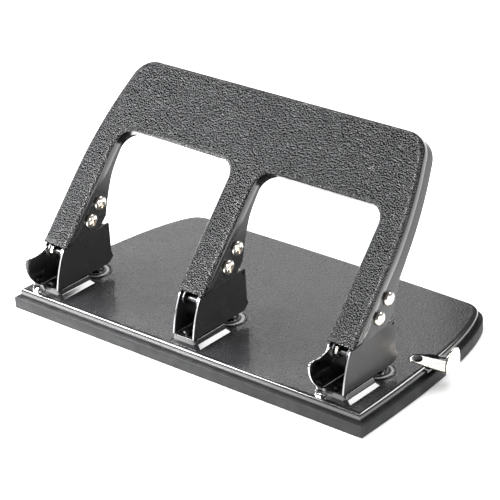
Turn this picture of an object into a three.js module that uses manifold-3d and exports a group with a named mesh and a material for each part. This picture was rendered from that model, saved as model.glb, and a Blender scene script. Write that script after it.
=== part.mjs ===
// Three hole punch, heavy duty desk type, in millimetres.
// X runs along the row of punch heads, +Y points from the hinge side to the paper side, +Z is up.
// Sections below are drawn with y = 0 on the hinge-side edge of the chip tray; place() moves every
// piece so that the frame origin ends in the middle of the tray's flat underside.
import * as THREE from 'three'
import { mergeVertices } from 'three/addons/utils/BufferGeometryUtils.js'
import Module from 'manifold-3d'

const wasm = await Module()
wasm.setup()
const { Manifold, Mesh } = wasm

// ---- driving dimensions -------------------------------------------------------------------
const GAP = 0.3 // play between touching pieces
const PITCH = 108 // distance between neighbouring punched holes
const HEADS = [-PITCH, 0, PITCH]
const HEAD_NAMES = ['left', 'middle', 'right']
const DEPTH = 146.6 // hinge-side edge to the bowed paper-side edge
const TRAY_TOP = 7.7
const SHEET = 1.2 // gauge of the base plate
const PLATE_TOP = 13
const PLATE_INSET = 2.9 // base plate edge inside the tray edge
const DIE_Y = 46 // line of the three punched holes
const HOLE_R = 3.55

// channel bracket
const CHEEK_OUT = 8.0
const CHEEK_IN = 6.8
const WEB_LOW = 18.5
const WEB_TOP = 20.0
const WEB_FRONT = 6.1
const PIVOT = [17.6, 37.5] // y, z of the handle axis
const STOP = [51, 43] // y, z of the pin that ties the back ends of the cheeks
const RIVET_Y = [10, 27] // the two rivets between bracket and base plate

// handle face: starts at FACE_START and climbs at FACE_TILT
const FACE_START = [13.2, 44.0]
const FACE_TILT = THREE.MathUtils.degToRad(47.2)
const FACE_LENGTH = 123.7
const WINDOW_TOP = 80.3
const ARM_HALF = 9.3
const SIDE_TAPER = 14 // how much each side of the handle draws in towards the top
const RIM = 1.3 // the metal frame stands out past the pad along the top by this much
const PAD_THICK = 2.1
const FRAME_SHEET = 1.1
const SCREWS = [[36.8, 52.6], [45.3, 61.1]] // y, z of the two clamp screws of each arm

// punch pin train
const CROSS_Z = 41.4
const PIN_LOW = 18.8
const PIN_TOP = 44
const SPRING_FLOOR = WEB_TOP + GAP
const SPRING_TOP = 36.0

// swinging edge guide
const GUIDE_PIVOT = [117.5, 70] // x, y of its rivet
const GUIDE_LOW = 11.7
const GUIDE_TOP = 12.9
const GUIDE_TAB = [139.3, 140.5] // the upright tab the paper's edge rests against

// ---- helpers --------------------------------------------------------------------------------
function solid(geometry) {
  const g = geometry.clone()
  g.deleteAttribute('normal')
  g.deleteAttribute('uv')
  const merged = mergeVertices(g, 1e-4)
  return new Manifold(new Mesh({
    numProp: 3,
    vertProperties: new Float32Array(merged.attributes.position.array),
    triVerts: new Uint32Array(merged.index.array),
  }))
}

function toGeometry(manifold) {
  const mesh = manifold.getMesh()
  const g = new THREE.BufferGeometry()
  g.setAttribute('position', new THREE.BufferAttribute(new Float32Array(mesh.vertProperties), 3))
  g.setIndex(new THREE.BufferAttribute(new Uint32Array(mesh.triVerts), 1))
  return g
}

const union = (...bodies) => bodies.reduce((a, b) => a.add(b))

const group = new THREE.Group()
group.name = 'three_hole_punch'

function place(name, body, colour, metalness, roughness) {
  const g = body instanceof THREE.BufferGeometry ? body : toGeometry(body)
  g.translate(0, -DEPTH / 2, 0)
  const flat = g.index ? g.toNonIndexed() : g
  flat.deleteAttribute('normal')
  flat.computeVertexNormals()
  const mesh = new THREE.Mesh(flat, new THREE.MeshStandardMaterial({ color: colour, metalness, roughness }))
  mesh.name = name
  group.add(mesh)
}

const BLACK = [0x17181a, 0.3, 0.4]
const STEEL = [0xc9c6bf, 1.0, 0.28]

// closed polygon moved inwards by distance d (mitred corners, anticlockwise input)
function inset(points, d) {
  const n = points.length
  return points.map((p, i) => {
    const a = points[(i + n - 1) % n]
    const b = points[(i + 1) % n]
    const u = new THREE.Vector2().subVectors(p, a).normalize()
    const v = new THREE.Vector2().subVectors(b, p).normalize()
    const k = d / (1 + u.dot(v))
    return new THREE.Vector2(p.x - (u.y + v.y) * k, p.y + (u.x + v.x) * k)
  })
}

// skin through a stack of rings with equal point counts, first and last ring closed by caps
function stack(rings) {
  const n = rings[0].points.length
  const position = []
  rings.forEach(({ points, z }) => points.forEach((p) => position.push(p.x, p.y, z)))
  const index = []
  for (let k = 0; k + 1 < rings.length; k += 1) {
    for (let i = 0; i < n; i += 1) {
      const j = (i + 1) % n
      const a = k * n
      const b = a + n
      index.push(a + i, a + j, b + j, a + i, b + j, b + i)
    }
  }
  const last = (rings.length - 1) * n
  THREE.ShapeUtils.triangulateShape(rings[0].points, []).forEach(([a, b, c]) => index.push(c, b, a))
  THREE.ShapeUtils.triangulateShape(rings.at(-1).points, [])
    .forEach(([a, b, c]) => index.push(last + a, last + b, last + c))
  const g = new THREE.BufferGeometry()
  g.setAttribute('position', new THREE.Float32BufferAttribute(position, 3))
  g.setIndex(index)
  return g
}

// prism of a plan shape between two heights
function prism(points, z0, z1) {
  return solid(stack([{ points, z: z0 }, { points, z: z1 }]))
}

// plate cut from a side view drawn in (y, z), standing between x0 and x1
function sidePlate(shape, x0, x1, curveSegments = 10) {
  const g = new THREE.ExtrudeGeometry(shape, { depth: x1 - x0, bevelEnabled: false, curveSegments })
  g.applyMatrix4(new THREE.Matrix4().set(0, 0, 1, x0, 1, 0, 0, 0, 0, 1, 0, 0, 0, 0, 0, 1))
  return solid(g)
}

// round body along X through the point (y, z)
function barX(radius, x0, x1, y, z, segments = 12) {
  const g = new THREE.CylinderGeometry(radius, radius, x1 - x0, segments)
  g.rotateZ(Math.PI / 2)
  g.translate((x0 + x1) / 2, y, z)
  return solid(g)
}

// round body along Z
function barZ(radius, z0, z1, x, y, segments = 16) {
  const g = new THREE.CylinderGeometry(radius, radius, z1 - z0, segments)
  g.rotateX(Math.PI / 2)
  g.translate(x, y, (z0 + z1) / 2)
  return solid(g)
}

function box(x0, x1, y0, y1, z0, z1) {
  const g = new THREE.BoxGeometry(x1 - x0, y1 - y0, z1 - z0)
  g.translate((x0 + x1) / 2, (y0 + y1) / 2, (z0 + z1) / 2)
  return solid(g)
}

// turned body about Z, profile given as [radius, z] pairs from bottom to top on the outside
function turned(profile, x, y, segments = 14) {
  const g = new THREE.LatheGeometry(profile.map(([r, z]) => new THREE.Vector2(r, z)), segments)
  g.rotateX(Math.PI / 2)
  g.translate(x, y, 0)
  return solid(g)
}

// ---- plan outline shared by tray and base plate ---------------------------------------------
function planOutline() {
  const v = (x, y) => new THREE.Vector2(x, y)
  const side = new THREE.CubicBezierCurve(v(132.2, 0), v(132.2, 60), v(128, 105), v(118.5, 129))
  const corner = new THREE.CubicBezierCurve(v(118.5, 129), v(114.5, 139.2), v(111, 144), v(102, 145))
  const back = new THREE.QuadraticBezierCurve(v(102, 145), v(55, DEPTH), v(0, DEPTH))
  const half = [...side.getPoints(7), ...corner.getPoints(6).slice(1), ...back.getPoints(3).slice(1)]
  const mirrored = half.slice(0, -1).reverse().map((p) => v(-p.x, p.y))
  return [...half, ...mirrored]
}

const OUTLINE = planOutline()
const ring = (d, z) => ({ points: inset(OUTLINE, d), z })

// quarter-round edge: rings from the side face up to the top face
function roundedTop(d, z, r, steps) {
  return Array.from({ length: steps }, (_, i) => {
    const a = (i + 1) / steps * Math.PI / 2
    return ring(d + r * (1 - Math.cos(a)), z - r + r * Math.sin(a))
  })
}

// ---- edge guide outline, also used for its pocket -------------------------------------------
function guidePlan() {
  const [px, py] = GUIDE_PIVOT
  const shape = new THREE.Shape()
  shape.moveTo(px - 0.6, py - 4.2)
  shape.lineTo(126, 65.6)
  shape.lineTo(GUIDE_TAB[1], 66)
  shape.lineTo(GUIDE_TAB[1], 78.6)
  shape.lineTo(px + 1, py + 4.4)
  shape.absarc(px, py, 4.4, Math.PI * 0.45, Math.PI * 1.45)
  return shape.getPoints(8)
}

function pocketPlan(grow) {
  const [px, py] = GUIDE_PIVOT
  const shape = new THREE.Shape()
  shape.moveTo(px, py - 5 - grow)
  shape.lineTo(136, 65 - grow)
  shape.lineTo(136, 84 + grow)
  shape.lineTo(px + 4, py + 8.6 + grow)
  shape.absarc(px, py, 5 + grow, Math.PI * 0.6, Math.PI * 1.5)
  return shape.getPoints(8)
}

// ---- base -----------------------------------------------------------------------------------
function platform(x, shrink, z0, z1) {
  const rectangle = (hx, y0, y1) => {
    const r = 1.8
    const shape = new THREE.Shape()
    shape.absarc(x + hx - r, y0 + r, r, -Math.PI / 2, 0)
    shape.absarc(x + hx - r, y1 - r, r, 0, Math.PI / 2)
    shape.absarc(x - hx + r, y1 - r, r, Math.PI / 2, Math.PI)
    shape.absarc(x - hx + r, y0 + r, r, Math.PI, Math.PI * 1.5)
    return shape.getPoints(2)
  }
  // splayed foot at the sides and back up to the shoulder, then nearly upright walls
  return solid(stack([
    { points: rectangle(11.2 - shrink, 5.6 + shrink, 35.4 - shrink), z: z0 },
    { points: rectangle(8.9 - shrink, 6.2 + shrink, 33.6 - shrink), z: z0 + 2.7 },
    { points: rectangle(8.5 - shrink, 6.4 + shrink, 33.4 - shrink), z: z1 },
  ]))
}

function basePlate() {
  const inner = PLATE_INSET + SHEET
  const under = PLATE_TOP - SHEET
  let plate = solid(stack([
    ring(inner + 1.6, under),
    ring(inner, under - 1.6),
    ring(inner, TRAY_TOP + GAP),
    ring(PLATE_INSET, TRAY_TOP + GAP),
    ring(PLATE_INSET, PLATE_TOP - 2.4),
    ...roundedTop(PLATE_INSET, PLATE_TOP, 2.4, 4),
  ]))
  const body = prism(inset(OUTLINE, PLATE_INSET + 0.2), TRAY_TOP + GAP, PLATE_TOP)
  plate = plate.add(prism(pocketPlan(SHEET), 10.2, 12).intersect(body))
  plate = plate.subtract(prism(pocketPlan(0), GUIDE_LOW - GAP, PLATE_TOP + 1))
  HEADS.forEach((x) => {
    plate = plate.add(platform(x, 0, PLATE_TOP - 0.6, WEB_LOW - GAP))
    plate = plate.subtract(platform(x, SHEET, under - 0.8, WEB_LOW - GAP - SHEET))
    plate = plate.subtract(barZ(8.4, 8, 15, x, DIE_Y, 24))
    RIVET_Y.forEach((y) => { plate = plate.subtract(barZ(1.8, 14, 20, x, y, 10)) })
  })
  return plate.subtract(barZ(1.8, 8, 14, ...GUIDE_PIVOT, 16))
}

function chipTray() {
  return stack([
    ring(0.8, 0),
    ring(0, 0.8),
    ring(0, TRAY_TOP - 0.6),
    ring(0.6, TRAY_TOP),
    ring(PLATE_INSET + SHEET + 0.4, TRAY_TOP),
    ring(PLATE_INSET + SHEET + 0.4, 9.8),
    ring(PLATE_INSET + SHEET + 1.8, 9.8),
    ring(PLATE_INSET + SHEET + 1.8, 1.8),
  ])
}

// button die pressed in from above: thin flange lying on the base plate, neck through it
function die(x) {
  const seat = PLATE_TOP + GAP
  const low = PLATE_TOP - 2.8
  return turned([
    [HOLE_R + 0.1, low], [8.1, low], [8.1, seat], [10.2, seat], [10.2, seat + 0.2],
    [9.9, seat + 0.4], [6.6, seat + 0.4], [6.2, seat + 0.1], [HOLE_R + 0.1, seat + 0.1],
    [HOLE_R + 0.1, low],
  ], x, DIE_Y, 24)
}

// ---- bracket --------------------------------------------------------------------------------
function cheekShape() {
  const shape = new THREE.Shape()
  shape.moveTo(WEB_FRONT, WEB_LOW)
  shape.lineTo(49, WEB_LOW)
  shape.quadraticCurveTo(52.6, 19.2, 54.6, 22.6)
  shape.quadraticCurveTo(53.2, 24, 53.2, 27)
  shape.lineTo(53.2, 43.6)
  shape.quadraticCurveTo(53.2, 45, 51.8, 45)
  shape.lineTo(46, 44.6)
  shape.lineTo(16, 42.2)
  shape.quadraticCurveTo(13.9, 42, 13.2, 40.8)
  shape.quadraticCurveTo(7.4, 29, WEB_FRONT, WEB_LOW)
  return shape
}

function bracket(x) {
  const cheek = (x0, x1) => sidePlate(cheekShape(), x0, x1, 3)
  let body = union(
    cheek(x - CHEEK_OUT, x - CHEEK_IN),
    cheek(x + CHEEK_IN, x + CHEEK_OUT),
    box(x - CHEEK_OUT + 0.2, x + CHEEK_OUT - 0.2, WEB_FRONT, 49, WEB_LOW, WEB_TOP),
    box(x - 6, x + 6, 48, 52, WEB_LOW, WEB_TOP),
  )
  body = body.subtract(barZ(HOLE_R + GAP, 17, 22, x, DIE_Y))
  RIVET_Y.forEach((y) => { body = body.subtract(barZ(1.8, 17, 22, x, y, 10)) })
  body = body.subtract(barX(2.3, x - 9, x + 9, ...PIVOT))
  return body.subtract(barX(1.5, x - 9, x + 9, ...STOP, 16))
}

function bracketRivet(x, y) {
  const sheetLow = WEB_LOW - GAP - SHEET
  return turned([
    [0, sheetLow - 1.3], [2.4, sheetLow - 1.3], [2.4, sheetLow - GAP], [1.5, sheetLow - GAP],
    [1.5, WEB_TOP + GAP], [2.7, WEB_TOP + GAP], [2.2, WEB_TOP + 1.3], [0, WEB_TOP + 1.6],
  ], x, y, 10)
}

const stopPin = (x) => barX(1.2, x - CHEEK_OUT, x + CHEEK_OUT, ...STOP, 16)

// pivot pin through cheeks, lever and stop plate: headed at one end, flush with the +X cheek
function pivotPin(x) {
  return union(
    barX(2.0, x - CHEEK_OUT - 0.8, x + CHEEK_OUT, ...PIVOT),
    barX(2.9, x - CHEEK_OUT - 1.2, x - CHEEK_OUT - GAP, ...PIVOT),
  )
}

// hexagon nut that keeps the stop plate on the pivot pin
function pivotNut(x) {
  const g = new THREE.CylinderGeometry(3.9, 3.9, 2.4, 6)
  g.rotateZ(Math.PI / 2)
  g.translate(x - 3.2, ...PIVOT)
  return solid(g).subtract(barX(2.0 + GAP, x - 6, x, ...PIVOT))
}

// ---- handle ---------------------------------------------------------------------------------
// face coordinates: u across (X), s up the slope, d depth behind the visible face
const FACE_MATRIX = (() => {
  const c = Math.cos(FACE_TILT)
  const s = Math.sin(FACE_TILT)
  return new THREE.Matrix4().set(
    1, 0, 0, 0,
    0, c, -s, FACE_START[0],
    0, s, c, FACE_START[1],
    0, 0, 0, 1,
  )
})()

function slab(shape, dFront, dBack, curveSegments = 6) {
  const g = new THREE.ExtrudeGeometry(shape, { depth: dBack - dFront, bevelEnabled: false, curveSegments })
  g.translate(0, 0, -dBack)
  return solid(g)
}

// tilts a body made of slabs into its place on the machine
function onFace(body) {
  const g = toGeometry(body)
  g.applyMatrix4(FACE_MATRIX)
  return solid(g)
}

// outline of the whole handle in the face plane, shrunk by t and standing out by rim at the top
function handleShape(t, bottom, rim = 0) {
  const taper = (s) => (SIDE_TAPER - rim) * Math.max(0, (s - 45) / (FACE_LENGTH - 45)) ** 2
  const half = (s) => PITCH + ARM_HALF - t - taper(s)
  const shape = new THREE.Shape()
  const r = 14 - t
  const top = FACE_LENGTH + rim - t
  const steps = 4
  shape.moveTo(-half(0), bottom)
  shape.lineTo(half(0), bottom)
  for (let i = 0; i <= steps; i += 1) {
    const s = 45 + (top - r - 45) * i / steps
    shape.lineTo(half(s), s)
  }
  const w = half(top - r)
  shape.bezierCurveTo(w - r * 0.14, top - r * 0.42, w - r * 0.6, top, w - r * 1.15, top)
  shape.lineTo(-(w - r * 1.15), top)
  shape.bezierCurveTo(-(w - r * 0.6), top, -(w - r * 0.14), top - r * 0.42, -w, top - r)
  for (let i = steps; i >= 0; i -= 1) {
    const s = 45 + (top - r - 45) * i / steps
    shape.lineTo(-half(s), s)
  }
  shape.closePath()
  return shape
}

// one of the two windows between the arms, grown by t
function windowShape(centre, t) {
  const half = PITCH / 2 - ARM_HALF + t
  const top = WINDOW_TOP + t
  const r = 10 + t
  const shape = new THREE.Shape()
  shape.moveTo(centre - half, -40)
  shape.lineTo(centre + half, -40)
  shape.lineTo(centre + half, top - r)
  shape.quadraticCurveTo(centre + half - r * 0.12, top - r * 0.12, centre + half - r, top)
  shape.lineTo(centre - half + r, top)
  shape.quadraticCurveTo(centre - half + r * 0.12, top - r * 0.12, centre - half, top - r)
  shape.closePath()
  return shape
}

const WINDOWS = [-PITCH / 2, PITCH / 2]

function withWindows(body, t, dFront, dBack) {
  return WINDOWS.reduce((b, c) => b.subtract(slab(windowShape(c, t), dFront, dBack)), body)
}

// free edge of the flanges as [distance up the slope, depth behind the face]
const OUTER_EDGE = [[34.1, 20.4], [40.5, 17.2], [48, 15], [60, 14.2], [80, 14]]
const WINDOW_EDGE = [[34.1, 20.1], [40.5, 16.8], [47, 13.9], [54.5, 11.2], [62, 9.9], [75, 9.5]]

// region kept when seen from the side: everything in front of the flange's free edge
function flangeRegion(freeEdge) {
  const at = (s, d) => {
    const c = Math.cos(FACE_TILT)
    const n = Math.sin(FACE_TILT)
    return [FACE_START[0] + s * c + d * n, FACE_START[1] + s * n - d * c]
  }
  const shape = new THREE.Shape()
  shape.moveTo(...at(-6, -2))
  shape.lineTo(14, 43.2)
  shape.lineTo(16, 42.5)
  shape.lineTo(47.4, 45.6)
  shape.quadraticCurveTo(48.8, 45.7, 49.1, 47)
  shape.splineThru(freeEdge.map(([s, d]) => new THREE.Vector2(...at(s, d))))
  shape.lineTo(...at(FACE_LENGTH + 4, freeEdge.at(-1)[1]))
  shape.lineTo(...at(FACE_LENGTH + 4, -2))
  shape.closePath()
  return shape
}

function handleFrame() {
  const front = PAD_THICK + GAP
  const back = 30
  const shell = slab(handleShape(0, -12, RIM), front, back).subtract(
    slab(handleShape(FRAME_SHEET, -14, RIM), front + FRAME_SHEET, back + 1))
  const cut = withWindows(shell, 0, front - 1, back + 2)
  let body = onFace(cut).intersect(sidePlate(flangeRegion(OUTER_EDGE), -140, 140, 3))
  const windowRegion = sidePlate(flangeRegion(WINDOW_EDGE), -140, 140, 3)
  WINDOWS.forEach((c) => {
    const wall = slab(windowShape(c, FRAME_SHEET), front, back)
      .subtract(slab(windowShape(c, 0), front - 1, back + 1))
      .intersect(slab(handleShape(0, -12, RIM), front, back))
    body = body.add(onFace(wall).intersect(windowRegion))
  })
  // low ends of the arms, kept clear of the bracket cheeks
  const lowCut = sidePlate(cheekClearance(), -140, 140)
  HEADS.forEach((x) => {
    const core = box(x - CHEEK_OUT - GAP, x + CHEEK_OUT + GAP, -10, 60, 30, 60)
    body = body.subtract(lowCut.intersect(core))
    SCREWS.forEach(([y, z]) => { body = body.subtract(barX(2.5, x - 12, x + 12, y, z, 10)) })
  })
  return body
}

// side view of the space that must stay free above the bracket cheeks
function cheekClearance() {
  const shape = new THREE.Shape()
  shape.moveTo(0, 30)
  shape.lineTo(60, 30)
  shape.lineTo(60, 46)
  shape.lineTo(46, 45.4)
  shape.lineTo(16, 43.2)
  shape.lineTo(0, 42.9)
  shape.closePath()
  return shape
}

function handlePad() {
  const steps = [[0, 1.0], [0.5, 0.3], [1.1, 0]]
  const layers = steps.map(([d, t]) => withWindows(
    slab(handleShape(0.3 + t, 0.2 + t), d, PAD_THICK), 0.3 + t, -1, PAD_THICK + 1))
  return onFace(union(...layers)).subtract(sidePlate(cheekClearance(), -140, 140))
}

// inner channel lever, clamped between the flanges of an arm by the two screws
function lever(x) {
  const inner = 4.75
  const outer = 5.6
  const shape = new THREE.Shape()
  shape.absarc(PIVOT[0], PIVOT[1], 4.3, Math.PI * 0.75, Math.PI * 1.5)
  shape.lineTo(36, 35.4)
  shape.absarc(DIE_Y, CROSS_Z, 3.4, Math.PI * 1.4, Math.PI * 2.1)
  shape.lineTo(45.6, 51.4)
  shape.lineTo(48.6, 57.4)
  shape.absarc(45.3, 61.1, 4.8, -Math.PI * 0.25, Math.PI * 0.72)
  shape.closePath()
  const plates = union(
    sidePlate(shape, x - outer, x - inner, 3),
    sidePlate(shape, x + inner, x + outer, 3),
  )
  // the channel is spread to the arm's width above the bracket and bridged by a web
  const upper = new THREE.Shape()
  upper.moveTo(38.2, 58)
  upper.lineTo(47.6, 55.6)
  upper.lineTo(48.9, 58)
  upper.absarc(45.3, 61.1, 4.8, -Math.PI * 0.2, Math.PI * 0.72)
  upper.closePath()
  const wide = ARM_HALF - FRAME_SHEET - GAP
  const spread = union(
    sidePlate(upper, x - wide, x - inner, 3),
    sidePlate(upper, x + inner, x + wide, 3),
  )
  const bridge = sidePlate(bridgeShape(), x - outer, x + outer)
  let body = union(plates, spread, bridge)
  SCREWS.forEach(([y, z]) => { body = body.subtract(barX(2.5, x - 12, x + 12, y, z, 10)) })
  body = body.subtract(barX(2.0 + GAP, x - 12, x + 12, ...PIVOT))
  return body.subtract(box(x - 12, x + 12, DIE_Y - 2.3, DIE_Y + 2.3, CROSS_Z - 1.8, CROSS_Z + 1.8))
}

// thin web along the sloping front edge of the lever
function bridgeShape() {
  const shape = new THREE.Shape()
  shape.moveTo(21, 46.3)
  shape.lineTo(22, 45.3)
  shape.lineTo(41.6, 64.8)
  shape.lineTo(40.6, 65.8)
  shape.closePath()
  return shape
}

// screw and sleeve nut; side = +1 puts the slotted screw head on the +X face of the arm
function clampScrew(x, side, [y, z]) {
  const head = clampHead(x, side, y, z)
  const seat = x + side * (ARM_HALF + GAP)
  const ends = [seat - side * 6, seat + side * 0.4]
  const shank = barX(1.5, Math.min(...ends), Math.max(...ends), y, z, 16)
  const arm = 3.1
  const crown = x + side * (ARM_HALF + 1.9)
  const cut = (hy, hz) => box(crown - 0.7, crown + 0.7, y - hy, y + hy, z - hz, z + hz)
  return union(head, shank).subtract(union(cut(arm, 0.6), cut(0.6, arm)))
}

function clampNut(x, side, [y, z]) {
  const mouth = x + side * (ARM_HALF - 0.2)
  const ends = [x - side * (ARM_HALF + GAP + 0.4), mouth]
  const barrel = barX(2.2, Math.min(...ends), Math.max(...ends), y, z)
  const depths = [mouth - side * 7.5, mouth + side]
  const bore = barX(1.8, Math.min(...depths), Math.max(...depths), y, z, 16)
  return union(clampHead(x, -side, y, z), barrel).subtract(bore)
}

// low domed head lying on the flange
function clampHead(x, side, y, z) {
  const profile = [[0, 0], [4.6, 0], [4.6, 0.6], [3.4, 1.4], [0, 1.7]]
  const g = new THREE.LatheGeometry(profile.map(([r, h]) => new THREE.Vector2(r, h)), 14)
  g.rotateZ(side > 0 ? -Math.PI / 2 : Math.PI / 2)
  g.translate(x + side * (ARM_HALF + GAP), y, z)
  return solid(g)
}

// plated stop plate beside the left cheek of both end heads, its foot rolled into an eye
function stopPlate(x) {
  const shape = new THREE.Shape()
  shape.moveTo(21.5, 36)
  shape.quadraticCurveTo(21.5, 41.6, 16.4, 41.4)
  shape.bezierCurveTo(13, 40.8, 9, 38, 3.6, 38.2)
  shape.bezierCurveTo(0, 38.4, -1.6, 39.2, -3.6, 38.6)
  shape.bezierCurveTo(-5.6, 38, -5.7, 35.2, -5.2, 33)
  shape.bezierCurveTo(-4.6, 29.6, -2.6, 25.4, 0.2, 22.6)
  shape.bezierCurveTo(0.9, 21.6, 0.7, 20.6, 0, 19.8)
  shape.bezierCurveTo(-1.1, 18.2, -0.6, 16.2, 0.6, 14.6)
  shape.lineTo(3.6, 14.2)
  shape.lineTo(5.2, 18)
  shape.bezierCurveTo(5.4, 20.8, 10, 24, 13, 30)
  shape.bezierCurveTo(15, 33, 21.5, 32, 21.5, 36)
  const plate = sidePlate(shape, x - 6.6, x - 5.8, 4)
  const roll = barX(2.4, x - 6.6, x - 3.2, 2.3, 16.8, 16)
  const eye = barX(1.4, x - 8, x - 2, 2.3, 16.8, 16)
  return union(plate, roll).subtract(eye).subtract(barX(2.0 + GAP, x - 8, x - 5, ...PIVOT))
}

// ---- punch pin train ------------------------------------------------------------------------
function punchPin(x) {
  const blank = turned([[0, PIN_LOW], [HOLE_R, PIN_LOW], [HOLE_R, PIN_TOP - 0.8], [HOLE_R - 0.8, PIN_TOP],
    [0, PIN_TOP]], x, DIE_Y)
  const groove = turned([[2.7, SPRING_TOP + 0.1], [5, SPRING_TOP + 0.1], [5, SPRING_TOP + 1.3],
    [2.7, SPRING_TOP + 1.3], [2.7, SPRING_TOP + 0.1]], x, DIE_Y)
  const hollow = barX(7, x - 5, x + 5, DIE_Y, PIN_LOW - 6.1, 28)
  const crossHole = barX(1.5 + GAP / 2, x - 5, x + 5, DIE_Y, CROSS_Z, 16)
  return blank.subtract(groove).subtract(hollow).subtract(crossHole)
}

const crossPin = (x) => barX(1.5, x - 6.2, x + 6.2, DIE_Y, CROSS_Z, 16)

// snap washer in the groove of the pin, pushed up by the spring
function springWasher(x) {
  const low = SPRING_TOP + GAP
  return turned([[3.0, low], [4.45, low], [4.45, low + 0.8], [3.0, low + 0.8], [3.0, low]], x, DIE_Y)
}

// return spring: round wire wound between web and washer
function returnSpring(x) {
  const wire = 0.34
  const mean = 4.1
  const turns = 5.5
  const low = SPRING_FLOOR + wire
  const high = SPRING_TOP - wire
  const rounds = Math.round(turns * 10)
  const sides = 4
  const position = []
  const centre = (t) => {
    const a = t * turns * Math.PI * 2
    return new THREE.Vector3(x + mean * Math.cos(a), DIE_Y + mean * Math.sin(a), low + (high - low) * t)
  }
  for (let i = 0; i <= rounds; i += 1) {
    const c = centre(i / rounds)
    const out = new THREE.Vector3(c.x - x, c.y - DIE_Y, 0).normalize()
    for (let k = 0; k < sides; k += 1) {
      const b = k / sides * Math.PI * 2
      const radial = wire * Math.cos(b)
      position.push(c.x + out.x * radial, c.y + out.y * radial, c.z + wire * Math.sin(b))
    }
  }
  const index = []
  for (let i = 0; i < rounds; i += 1) {
    for (let k = 0; k < sides; k += 1) {
      const a = i * sides + k
      const b = i * sides + (k + 1) % sides
      index.push(a, b + sides, b, a, a + sides, b + sides)
    }
  }
  for (let k = 1; k + 1 < sides; k += 1) {
    index.push(0, k, k + 1)
    const e = rounds * sides
    index.push(e, e + k + 1, e + k)
  }
  const g = new THREE.BufferGeometry()
  g.setAttribute('position', new THREE.Float32BufferAttribute(position, 3))
  g.setIndex(index)
  return g
}

// ---- edge guide -----------------------------------------------------------------------------
function edgeGuide() {
  const tab = new THREE.Shape()
  tab.moveTo(66, GUIDE_LOW)
  tab.lineTo(78.6, GUIDE_LOW)
  tab.lineTo(78.9, 19)
  tab.bezierCurveTo(78.6, 23.2, 77, 24.8, 74.4, 24.8)
  tab.bezierCurveTo(70.4, 24.8, 66.6, 21.6, 66, 16)
  tab.closePath()
  return union(prism(guidePlan(), GUIDE_LOW, GUIDE_TOP), sidePlate(tab, ...GUIDE_TAB))
    .subtract(barZ(2.3 + GAP, 10, 15, ...GUIDE_PIVOT))
}

function guideRivet() {
  const floor = 10.2
  return turned([
    [0, floor - 1.2], [2.6, floor - 1.2], [2.6, floor - GAP], [1.5, floor - GAP], [1.5, 11.4 + GAP],
    [2.3, 11.4 + GAP], [2.3, 13.2], [3.1, 13.2], [2.8, 13.7], [0, 13.9],
  ], ...GUIDE_PIVOT)
}

// ---- assembly -------------------------------------------------------------------------------
place('chip_tray', chipTray(), 0x242527, 0, 0.75)
place('base_plate', basePlate(), ...BLACK)
HEADS.forEach((x, i) => {
  const tag = HEAD_NAMES[i]
  const screwSide = i === 2 ? -1 : 1
  place(`die_${tag}`, die(x), ...STEEL)
  place(`bracket_${tag}`, bracket(x), ...BLACK)
  RIVET_Y.forEach((y, k) => place(`bracket_rivet_${tag}_${k + 1}`, bracketRivet(x, y), ...STEEL))
  place(`pivot_pin_${tag}`, pivotPin(x), ...STEEL)
  place(`stop_pin_${tag}`, stopPin(x), ...STEEL)
  place(`lever_${tag}`, lever(x), 0x3a3b3d, 0.8, 0.4)
  SCREWS.forEach((at, k) => {
    place(`clamp_screw_${tag}_${k + 1}`, clampScrew(x, screwSide, at), ...STEEL)
    place(`clamp_nut_${tag}_${k + 1}`, clampNut(x, screwSide, at), ...STEEL)
  })
  place(`punch_pin_${tag}`, punchPin(x), ...STEEL)
  place(`cross_pin_${tag}`, crossPin(x), ...STEEL)
  place(`spring_washer_${tag}`, springWasher(x), ...STEEL)
  place(`return_spring_${tag}`, returnSpring(x), ...STEEL)
})
;[0, 2].forEach((i) => {
  place(`stop_plate_${HEAD_NAMES[i]}`, stopPlate(HEADS[i]), ...STEEL)
  place(`pivot_nut_${HEAD_NAMES[i]}`, pivotNut(HEADS[i]), ...STEEL)
})
place('handle_frame', handleFrame(), ...BLACK)
place('handle_pad', handlePad(), 0x2a2b2d, 0, 0.6)
place('edge_guide', edgeGuide(), ...STEEL)
place('guide_rivet', guideRivet(), ...BLACK)

export default group
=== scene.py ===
import math

import bmesh
import bpy
from mathutils import Matrix, Vector
from mathutils.geometry import interpolate_bezier, tessellate_polygon


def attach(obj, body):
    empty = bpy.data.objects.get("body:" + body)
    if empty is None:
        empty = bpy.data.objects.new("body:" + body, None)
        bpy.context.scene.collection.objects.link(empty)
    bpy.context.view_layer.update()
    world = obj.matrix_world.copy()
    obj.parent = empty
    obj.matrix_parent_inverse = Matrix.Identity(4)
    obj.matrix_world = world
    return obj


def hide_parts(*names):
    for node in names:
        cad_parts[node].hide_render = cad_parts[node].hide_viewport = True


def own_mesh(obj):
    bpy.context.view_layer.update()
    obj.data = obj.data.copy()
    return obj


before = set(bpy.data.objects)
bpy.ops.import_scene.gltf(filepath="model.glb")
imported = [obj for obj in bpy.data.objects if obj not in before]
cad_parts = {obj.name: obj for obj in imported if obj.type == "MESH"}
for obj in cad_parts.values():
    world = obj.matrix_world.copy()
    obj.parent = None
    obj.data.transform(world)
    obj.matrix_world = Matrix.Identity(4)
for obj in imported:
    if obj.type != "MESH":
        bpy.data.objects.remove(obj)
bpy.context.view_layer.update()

# ---- dimensions, in millimetres; y = 0 is the hinge-side edge of the tray -------------------
DEPTH = 146.6
PITCH = 108.0
HEADS = {"left": -PITCH, "middle": 0.0, "right": PITCH}
TRAY_TOP = 7.7
PLATE_TOP = 13.0
PLATE_INSET = 2.9
SHEET = 1.2
DIE_Y = 46.0
HOLE_R = 3.55
CHEEK_OUT = 8.0
CHEEK_IN = 6.8
WEB_LOW = 18.5
WEB_TOP = 20.0
WEB_FRONT = 6.1
PIVOT = (17.6, 37.5)
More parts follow.
